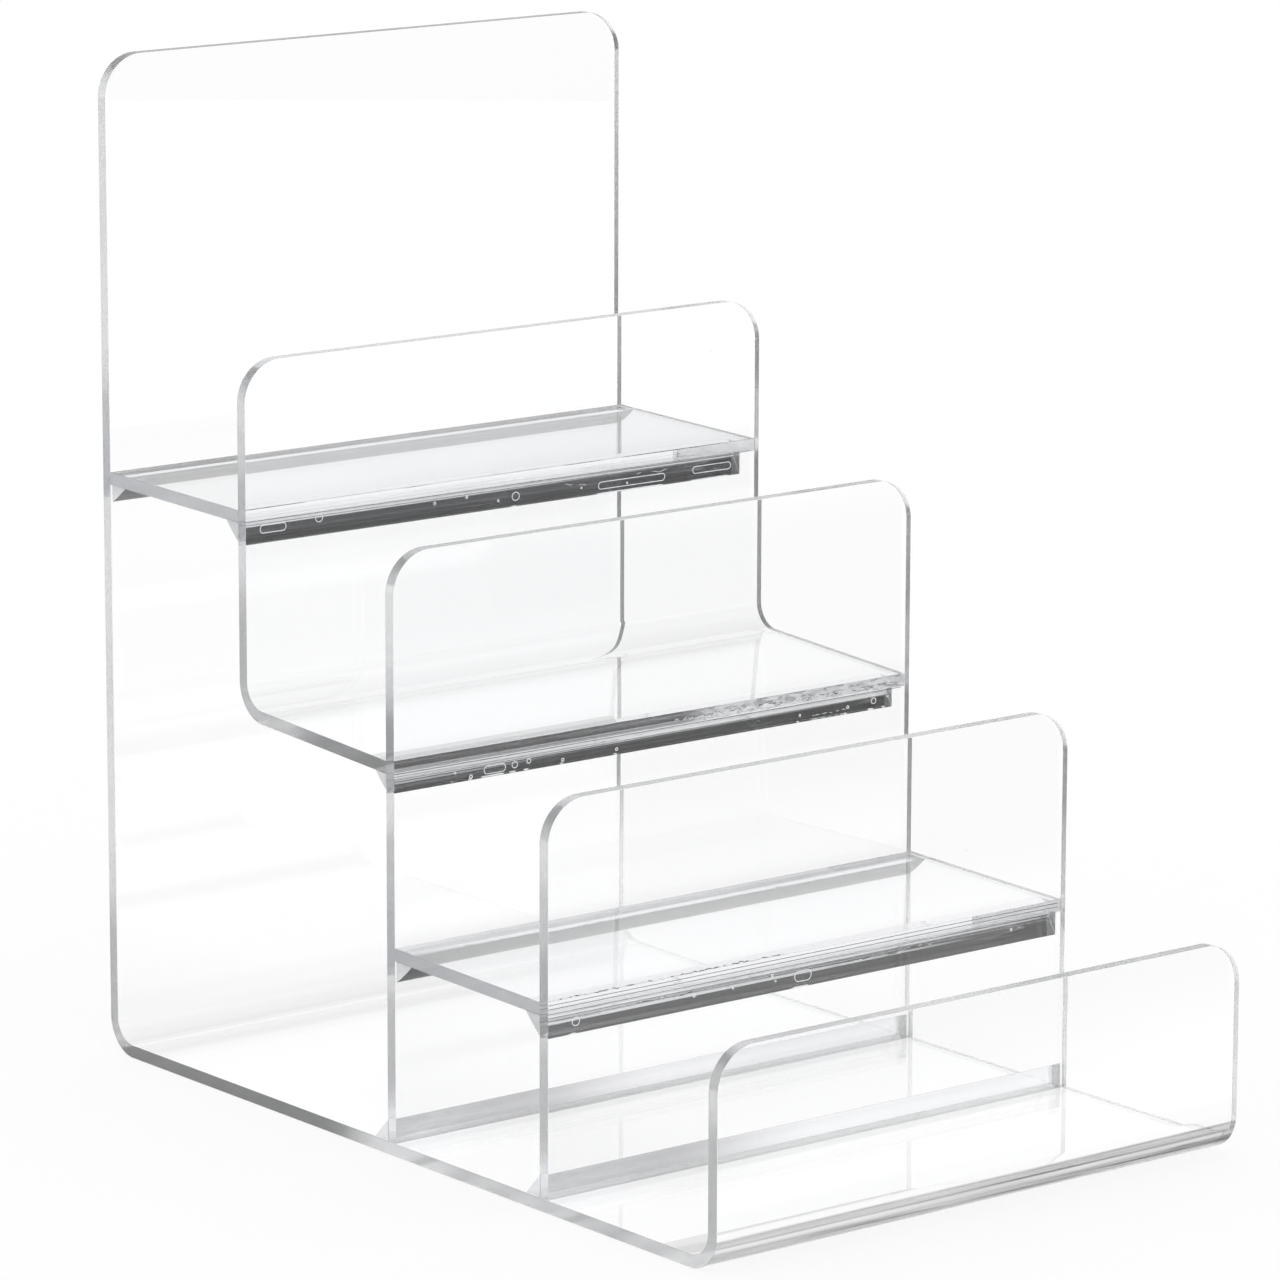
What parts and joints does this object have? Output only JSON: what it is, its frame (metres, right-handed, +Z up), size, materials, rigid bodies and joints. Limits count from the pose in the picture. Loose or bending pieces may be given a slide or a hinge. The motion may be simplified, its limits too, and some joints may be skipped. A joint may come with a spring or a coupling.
{
  "type": "acrylic storage shelf",
  "caption": "Clear acrylic stepped storage shelf with open trays rising from a low front lip to a tall back panel, bent and bonded from sheet.",
  "frame": {"origin": "on the table, under the middle of the stand's width and depth", "axes": "+Z up, -Y towards the front lip, +Y towards the tall back panel, X along the trays"},
  "size_m": [0.15, 0.227, 0.2363],
  "materials": {
    "base_acrylic": "clear acrylic sheet, polished faces, satin sawn ends",
    "step_acrylic": "clear acrylic sheet, polished faces, satin sawn ends",
    "riser_acrylic": "clear acrylic sheet, polished faces, satin sawn ends",
    "floor_acrylic": "clear acrylic sheet, polished faces, satin sawn ends",
    "strip_acrylic": "clear acrylic strip with small bubbles in its bond"
  },
  "bodies": {
    "root": {"base_sheet": "base_acrylic", "step_sheet": "step_acrylic", "middle_riser": "riser_acrylic", "front_riser": "riser_acrylic", "top_shelf": "floor_acrylic", "lower_shelf": "floor_acrylic", "top_rear_strip": "strip_acrylic", "top_front_strip": "strip_acrylic", "upper_front_strip": "strip_acrylic", "lower_rear_strip": "strip_acrylic", "lower_front_strip": "strip_acrylic", "middle_foot_strip": "strip_acrylic", "front_foot_strip": "strip_acrylic"}
  },
  "joints": []
}
